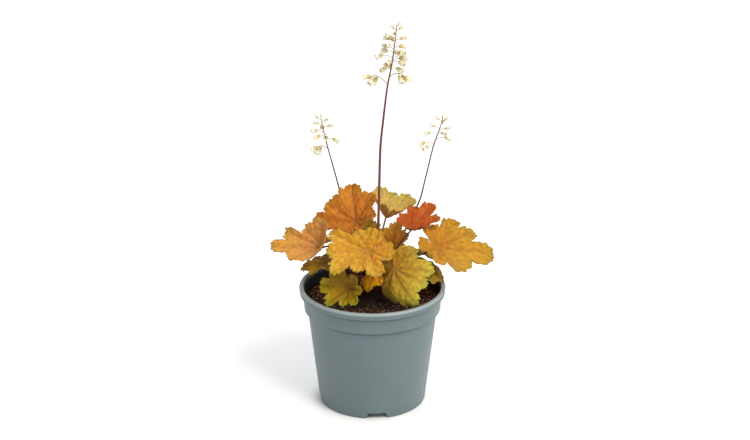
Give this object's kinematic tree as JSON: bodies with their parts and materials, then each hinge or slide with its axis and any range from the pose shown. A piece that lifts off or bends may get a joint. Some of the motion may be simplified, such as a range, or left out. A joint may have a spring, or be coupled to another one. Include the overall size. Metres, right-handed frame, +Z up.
{
  "type": "potted heuchera plant",
  "caption": "Heuchera perennial with lobed amber to lime leaves and tall airy sprays of small cream bell flowers, growing in a round tapered nursery pot.",
  "frame": {"origin": "middle of the pot's base, on the plane that the pot stands on", "axes": "+Z straight up along the pot's axis, -Y the front as pictured, +X to the right seen from the front"},
  "size_m": [0.2138, 0.1465, 0.3759],
  "materials": {
    "pot_plastic": "moulded blue-grey polypropylene with a faint satin sheen",
    "peat_soil": "moist peat and shredded bark, matte",
    "crown_bark": "knobbly dark red-brown woody crown, matte",
    "leaf_right": "thin living leaf with a satin, puckered upper surface",
    "leaf_left": "thin living leaf with a satin, puckered upper surface",
    "leaf_tall": "thin living leaf with a satin, puckered upper surface",
    "leaf_front_gold": "thin living leaf with a satin, puckered upper surface",
    "leaf_front_lime": "thin living leaf with a satin, puckered upper surface",
    "leaf_low_front": "thin living leaf with a satin, puckered upper surface",
    "leaf_back_pale": "thin living leaf with a satin, puckered upper surface",
    "leaf_young_red": "thin living leaf with a satin, puckered upper surface",
    "leaf_centre": "thin living leaf with a satin, puckered upper surface",
    "leaf_low_amber": "thin living leaf with a satin, puckered upper surface",
    "leaf_low_left": "thin living leaf with a satin, puckered upper surface",
    "leaf_low_right": "thin living leaf with a satin, puckered upper surface",
    "leaf_small_green": "thin living leaf with a satin, puckered upper surface",
    "leaf_small_olive": "thin living leaf with a satin, puckered upper surface",
    "leaf_back_left": "thin living leaf with a satin, puckered upper surface",
    "leaf_back_right": "thin living leaf with a satin, puckered upper surface",
    "leaf_back_low": "thin living leaf with a satin, puckered upper surface",
    "leaf_side_left": "thin living leaf with a satin, puckered upper surface",
    "leaf_side_right": "thin living leaf with a satin, puckered upper surface",
    "flower_spray_1": "soft cream bells on a red-brown stalk, matte",
    "flower_spray_2": "soft cream bells on a red-brown stalk, matte",
    "flower_spray_3": "soft cream bells on a red-brown stalk, matte"
  },
  "bodies": {
    "root": {"pot": "pot_plastic", "soil": "peat_soil", "crown": "crown_bark", "leaf_right": "leaf_right", "leaf_left": "leaf_left", "leaf_tall": "leaf_tall", "leaf_front_gold": "leaf_front_gold", "leaf_front_lime": "leaf_front_lime", "leaf_low_front": "leaf_low_front", "leaf_back_pale": "leaf_back_pale", "leaf_young_red": "leaf_young_red", "leaf_centre": "leaf_centre", "leaf_low_amber": "leaf_low_amber", "leaf_low_left": "leaf_low_left", "leaf_low_right": "leaf_low_right", "leaf_small_green": "leaf_small_green", "leaf_small_olive": "leaf_small_olive", "leaf_back_left": "leaf_back_left", "leaf_back_right": "leaf_back_right", "leaf_back_low": "leaf_back_low", "leaf_side_left": "leaf_side_left", "leaf_side_right": "leaf_side_right", "flower_spray_1": "flower_spray_1", "flower_spray_2": "flower_spray_2", "flower_spray_3": "flower_spray_3"}
  },
  "joints": []
}
